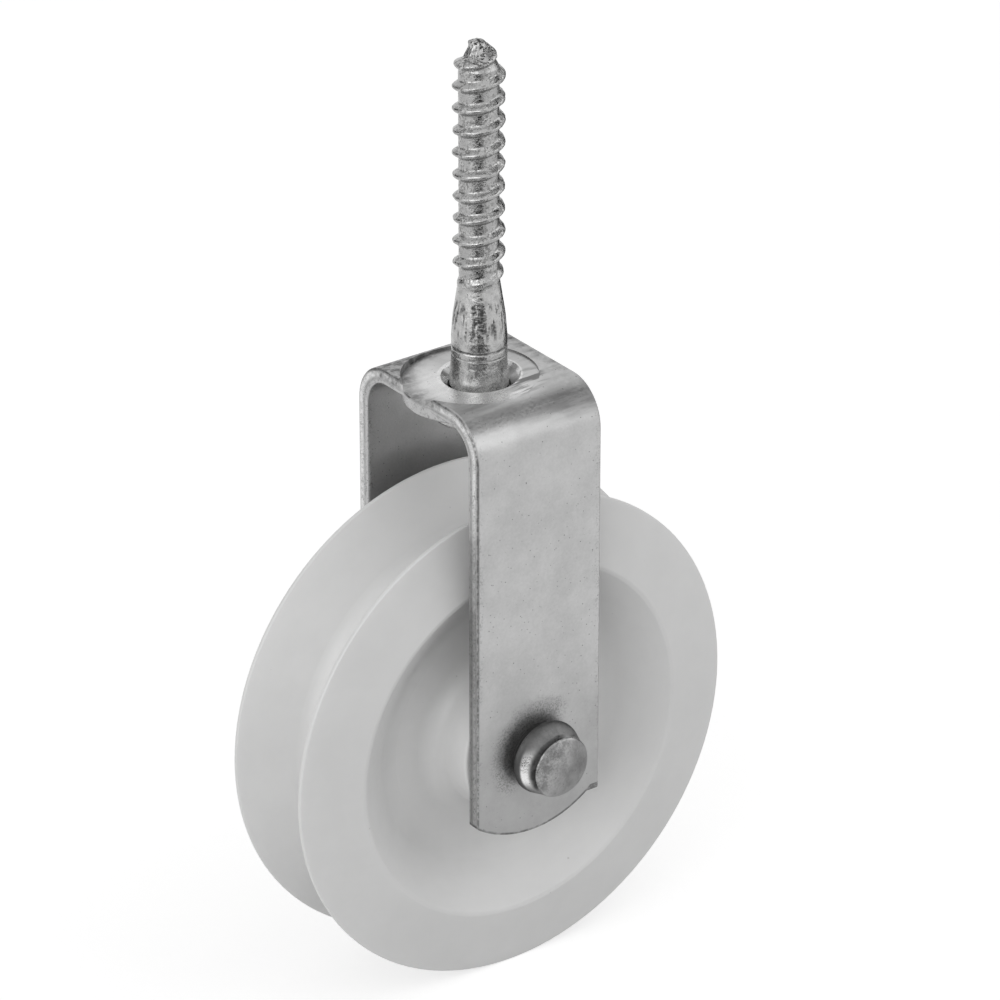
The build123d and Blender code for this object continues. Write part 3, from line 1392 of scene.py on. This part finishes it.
@dataclass
class WoodScrew:
    """The screw: a rod with its coarse thread and grip scores, and the head trapped under the crown."""

    places: Places
    flank: Ramp = (0.025, 0.29, 1.0, 0.0)
    uneven: Patches = Patches(420.0, 3.0, 0.6, (0.3, 0.7, 0.8, 1.0))
    last_turn: float = 0.5
    score_stretch: float = 0.16
    score_lines: Patches = Patches(2000.0, 1.0, 0.6, (0.5, 0.6))
    score_beads: Patches = Patches(3000.0, 2.0, 0.6, (0.35, 0.6, 0.35, 1.0))
    score_heights: Band = (mm(4.2, 6.0), mm(8.8, 9.6))
    ring_gaps: Patches = Patches(700.0, 1.0, 0.5, (0.35, 0.55, 0.4, 1.0))
    low_ring: Band = (mm(2.4, 2.5), mm(2.52, 2.62))
    low_ring_depth: float = 0.3
    high_ring: Band = (mm(3.2, 3.35), mm(3.5, 3.65))
    pit_noise: Triple = (1500.0, 3.0, 0.7)
    pit_share: Point = (0.3, 0.5)
    pit_foot: float = 1.0 * MM
    dent_noise: Triple = (330.0, 3.0, 0.6)
    dent_share: Point = (0.35, 0.65)
    head_radius: float = 5.75 * MM
    head_thickness: float = 2.4 * MM
    head_round: float = 0.8 * MM
    columns: int = 145
    rows: int = 560
    sharp_degrees: float = 55.0

    def core(self, group: Group, height: Socket) -> Socket:
        """The turned core's radius.

        Args:
            group: The tree that is being built.
            height: The height of the point.

        Returns:
            The radius.
        """
        get = group.get
        core = get["Collar Radius"]
        for low, high, before, after in (("Bottom", "Flare Top", "Collar Radius", "Shank Radius"),
                                         ("Shank Top", "Waist Height", "Shank Radius", "Waist Radius"),
                                         ("Waist Height", "Root Start", "Waist Radius", "Root Radius"),
                                         ("Point Start", "Top", "Root Radius", "Point Radius")):
            step = group.minus(get[before], get[after])
            fall = {0: height, 1: get[low], 2: get[high], 3: 0.0, 4: step}
            core = group.minus(core, group.add("ShaderNodeMapRange", fall).outputs[0])
        return core

    def ridge(self, group: Group, angle: Socket, height: Socket, skin: Socket) -> Socket:
        """The thread's rise above the core.

        Args:
            group: The tree that is being built.
            angle: The angle round the axis.
            height: The height of the point.
            skin: The point on a plain rod.

        Returns:
            The rise.
        """
        get = group.get
        turned = group.math("DIVIDE", group.minus(angle, get["Thread Turn"]), math.tau)
        climbed = group.math("DIVIDE", group.minus(height, get["Thread Start"]), get["Pitch"])
        phase = group.math("FRACT", group.plus(group.minus(climbed, turned), 0.5))
        shape = group.ramp(group.size(group.minus(phase, 0.5)), *self.flank)
        rise = group.ramp(height, get["Fade Start"], get["Fade End"])
        fall = group.ramp(height, get["Point Start"], get["Top"], 1.0, self.last_turn)
        depth = group.minus(get["Crest Radius"], get["Root Radius"])
        return group.times(depth, shape, rise, fall, group.patches(skin, self.uneven))

    def scores(self, group: Group, angle: Socket, height: Socket, skin: Socket) -> Socket:
        """The mask of the drive's grip scores and of the rings below them.

        Args:
            group: The tree that is being built.
            angle: The angle round the axis.
            height: The height of the point.
            skin: The point on a plain rod.

        Returns:
            The mask, 0 to 1.
        """
        across = group.times(group.math("COSINE", angle), group.get["Shank Radius"])
        along = group.times(group.math("SINE", angle), group.get["Shank Radius"])
        drawn = group.vector(across, along, group.times(height, self.score_stretch))
        gaps = group.patches(skin, self.ring_gaps)
        beads = group.patches(skin, self.score_beads)
        marks = group.times(group.patches(drawn, self.score_lines), beads,
                            group.hump(height, *self.score_heights))
        low = group.times(group.hump(height, *self.low_ring), gaps, self.low_ring_depth)
        high = group.times(group.hump(height, *self.high_ring), gaps, beads)
        return group.most(marks, low, high)

    def thread_group(self, sizes: RodSizes) -> Group:
        """Builds the tree that winds a coarse thread on a turned core and carves the grip scores.

        Args:
            sizes: The rod's sizes.

        Returns:
            A geometry group whose inputs are the rod's sizes.
        """
        group = Group(
            "coarse_thread",
            TreeKind.GEOMETRY,
            {**{label: SocketKind.NUMBER for label in sizes.inputs()}, "Columns": SocketKind.WHOLE,
             "Rows": SocketKind.WHOLE, "Finish": SocketKind.FINISH},
            {"Geometry": SocketKind.SHAPE},
        )
        get = group.get
        length = group.minus(get["Top"], get["Bottom"])
        grid = group.add("GeometryNodeMeshGrid", {"Size X": math.tau, "Size Y": length,
                                                  "Vertices X": get["Columns"], "Vertices Y": get["Rows"]})
        angle, along, _ = group.split(group.add("GeometryNodeInputPosition").outputs[0])
        height = group.plus(along, group.times(group.plus(get["Top"], get["Bottom"]), 0.5))
        cosine, sine = group.math("COSINE", angle), group.math("SINE", angle)
        skin = group.vector(group.times(cosine, get["Crest Radius"]), group.times(sine, get["Crest Radius"]),
                            height)
        score = self.scores(group, angle, height, skin)
        pits = group.ramp(group.noise(skin, *self.pit_noise), *self.pit_share, get["Pitting"], 0.0)
        pits = group.times(pits, group.ramp(height, get["Bottom"], self.pit_foot))
        dents = group.ramp(group.noise(skin, *self.dent_noise), *self.dent_share, get["Tip Dents"], 0.0)
        dents = group.times(dents, group.ramp(height, get["Point Start"], get["Top"]))
        worn = group.plus(pits, dents, group.times(score, get["Score Depth"]))
        radius = group.plus(self.core(group, height), self.ridge(group, angle, height, skin))
        tip = {0: height, 1: group.minus(get["Top"], get["Tip Round"]), 2: get["Top"]}
        end = group.add("ShaderNodeMapRange", tip).outputs[0]
        rounding = group.math("SQRT", group.minus(1.0, group.times(end, end)))
        radius = group.times(group.minus(radius, worn), rounding)
        place = group.vector(group.times(cosine, radius), group.times(sine, radius), height)
        named = group.add("GeometryNodeStoreNamedAttribute",
                          {"Geometry": grid.outputs["Mesh"], "Name": SCORE_LAYER, "Value": score},
                          data_type="FLOAT", domain="POINT")
        moved = group.add("GeometryNodeSetPosition", {"Geometry": named.outputs[0], "Position": place})
        joined = group.add("GeometryNodeMergeByDistance", {"Geometry": moved.outputs[0], "Distance": TOUCH})
        real = group.add("GeometryNodeRealizeInstances", {"Geometry": joined.outputs[0]})
        done = group.add("GeometryNodeSetMaterial", {"Geometry": real.outputs[0], "Material": get["Finish"]})
        group.give(Geometry=done.outputs[0])
        return group

    def head_outline(self, sizes: RodSizes) -> list[Point]:
        """The trapped head's and collar's half section, from below up to the foot of the rod.

        Args:
            sizes: The rod's sizes.

        Returns:
            Radius and height pairs, in metres.
        """
        low = self.places.screw.low.z
        top = low + self.head_thickness
        soft = self.head_round
        return [
            (0.0, low),
            *arc((self.head_radius - soft, low + soft), soft, -90, 0),
            (self.head_radius, top),
            (sizes.collar_radius, top),
            (sizes.collar_radius, sizes.bottom),
        ]

    def build(self, groups: Groups) -> list[bpy.types.Object]:
        """Builds the screw.

        Args:
            groups: The shared shader groups.

        Returns:
            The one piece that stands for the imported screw.
        """
        zinc = ScrewFinish().material(groups)
        sizes = RodSizes(top=self.places.screw.high.z)
        rod = grow("coarse_wood_screw", self.thread_group(sizes),
                   {**sizes.inputs(), "Columns": self.columns, "Rows": self.rows, "Finish": zinc})
        shape = bmesh.new()
        shape.from_mesh(rod)
        spin_into(shape, self.head_outline(sizes), self.columns - 1, Vector((0, 0, 1)), Vector((-1, 0, 0)),
                  Vector((0, 0, 0)))
        close_up(shape)
        mesh = to_mesh(shape, rod)
        screw = finish_piece("coarse_wood_screw", mesh, zinc, self.sharp_degrees, "screw")
        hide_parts("wood_screw")
        return [screw]


@dataclass(frozen=True)
class Softbox:
    """A soft rectangular lamp that faces the pulley, in degrees, metres and watts."""

    name: str
    azimuth: float
    elevation: float
    size: Point
    power: float


@dataclass(frozen=True)
class Card:
    """A black card, in degrees and metres. It faces the pulley, or lies flat if it has no elevation."""

    name: str
    azimuth: float
    reach: float
    size: Point
    elevation: Optional[float] = None


@dataclass
class Studio:
    """The floor, lamps, cards, surround and camera."""

    places: Places
    azimuth: float = -36.0
    elevation: float = 28.8
    look_azimuth: float = -36.22
    look_elevation: float = 26.77
    distance: float = 0.7
    focal_pixels: float = 6000.0
    picture: float = 1000.0
    sensor: float = 36.0
    clip_start: float = 0.01
    surround: float = 0.51
    lamp_reach: float = 0.9
    floor_size: float = 8.0
    card_lift: float = 1.0 * MM
    lamps: tuple[Softbox, ...] = (
        Softbox("softbox_left", -70, 20, (1.0, 0.6), 3.4),
        Softbox("softbox_right", 56, 34, (1.1, 0.9), 2.2),
        Softbox("softbox_top", -10, 72, (0.8, 0.8), 0.4),
    )
    cards: tuple[Card, ...] = (
        Card("flag_right", 64, 0.5, (0.42, 0.2), 53),
        Card("flag_back", 106, 0.5, (0.28, 0.3), 8),
        Card("flag_left", -150, 0.5, (0.3, 0.34), 12),
        Card("flag_low", -36, 0.36, (0.2, 0.54)),
        Card("flag_side", 112, 0.28, (0.17, 0.3)),
    )

    @staticmethod
    def towards(azimuth: float, elevation: float) -> Vector:
        """The unit direction at an azimuth and elevation, in degrees."""
        turn, rise = math.radians(azimuth), math.radians(elevation)
        return Vector((math.sin(turn) * math.cos(rise), -math.cos(turn) * math.cos(rise), math.sin(rise)))

    def camera(self) -> None:
        """Places the camera. It looks a little above the axle, which then falls low in the picture."""
        axle = Vector((0, 0, self.places.axle_z))
        place = axle + self.towards(self.azimuth, self.elevation) * self.distance
        back = self.towards(self.look_azimuth, self.look_elevation)
        right = self.towards(self.look_azimuth + 90, 0.0)
        turn = Matrix((right, back.cross(right), back)).transposed().to_4x4()
        data = bpy.data.cameras.new("camera")
        data.sensor_width = self.sensor
        data.sensor_fit = "HORIZONTAL"
        data.lens = self.focal_pixels * self.sensor / self.picture
        data.clip_start = self.clip_start
        camera = link_object("camera", data)
        camera.matrix_world = Matrix.Translation(place) @ turn
        bpy.context.scene.camera = camera

    def light(self, lamp: Softbox) -> None:
        """Adds one lamp.

        Args:
            lamp: The lamp's place, size and power.
        """
        back = self.towards(lamp.azimuth, lamp.elevation)
        data = bpy.data.lights.new(lamp.name, "AREA")
        data.shape = "RECTANGLE"
        data.size, data.size_y = lamp.size
        data.energy = lamp.power
        aim = Vector((0, 0, self.places.axle_z / 2))
        turn = back.to_track_quat("Z", "Y").to_matrix().to_4x4()
        link_object(lamp.name, data).matrix_world = Matrix.Translation(aim + back * self.lamp_reach) @ turn

    def world(self) -> None:
        """Makes a soft surround that is white where it is seen and dimmer where it lights."""
        world = bpy.data.worlds.new("surround")
        bpy.context.scene.world = world
        world.use_nodes = True
        tree = Tree(world.node_tree)
        strength = tree.ramp(seen_directly(tree), 0.0, 1.0, self.surround, 1.0)
        tree.fill(world.node_tree.nodes["Background"], {"Color": grey(1.0), "Strength": strength})

    @staticmethod
    def sheet(name: str, size: Point, place: Matrix, material: bpy.types.Material) -> bpy.types.Object:
        """Adds a flat rectangle that belongs to the studio.

        Args:
            name: Its name.
            size: Its width and height, in metres.
            place: Its place and turn.
            material: Its finish.

        Returns:
            The new object.
        """
        shape = bmesh.new()
        bmesh.ops.create_grid(shape, x_segments=1, y_segments=1, size=0.5)
        bmesh.ops.scale(shape, verts=shape.verts, vec=(*size, 1.0))
        bmesh.ops.transform(shape, verts=shape.verts, matrix=place)
        mesh = to_mesh(shape, bpy.data.meshes.new(name))
        mesh.materials.append(material)
        sheet = link_object(name, mesh)
        return sheet

    def hang(self, card: Card, black: bpy.types.Material) -> None:
        """Adds one black card that only the shine of the metal shows.

        Args:
            card: The card's place and size.
            black: Its finish.
        """
        middle = self.towards(card.azimuth, card.elevation or 0.0) * card.reach
        facing, spin = -middle.normalized(), 0.0
        if card.elevation is None:
            middle.z = self.places.wheel.low.z + self.card_lift
            facing, spin = Vector((0, 0, 1)), math.radians(card.azimuth)
        turn = facing.to_track_quat("Z", "Y").to_matrix().to_4x4() @ Matrix.Rotation(spin, 4, "Z")
        sheet = self.sheet(card.name, card.size, Matrix.Translation(middle) @ turn, black)
        sheet.visible_camera = sheet.visible_diffuse = sheet.visible_shadow = False

    def build(self) -> None:
        """Sets up the whole studio."""
        ground = Matrix.Translation((0, 0, self.places.wheel.low.z))
        self.sheet("floor", (self.floor_size, self.floor_size), ground, StudioWhite().material())
        self.camera()
        self.world()
        for lamp in self.lamps:
            self.light(lamp)
        black = FlagBlack().material()
        for card in self.cards:
            self.hang(card, black)
        bpy.context.scene.view_settings.view_transform = "Standard"


def main() -> None:
    """Builds the scene."""
    logging.basicConfig(level=logging.INFO, format="%(name)s: %(message)s")
    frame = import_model()
    places = Places.read()
    groups = Groups(mottle_group(), streak_group())
    nodes = frame["nodes"]
    assemblies = (ForkStrap(places, nodes["fork_strap"]), PlasticWheel(places, nodes["pulley_wheel"]),
                  AxleRivet(places), WoodScrew(places))
    for assembly in assemblies:
        for piece in assembly.build(groups):
            LOG.info("finished %s with %d faces", piece.name, len(piece.data.polygons))
    Studio(places).build()


if __name__ == "__main__":
    main()
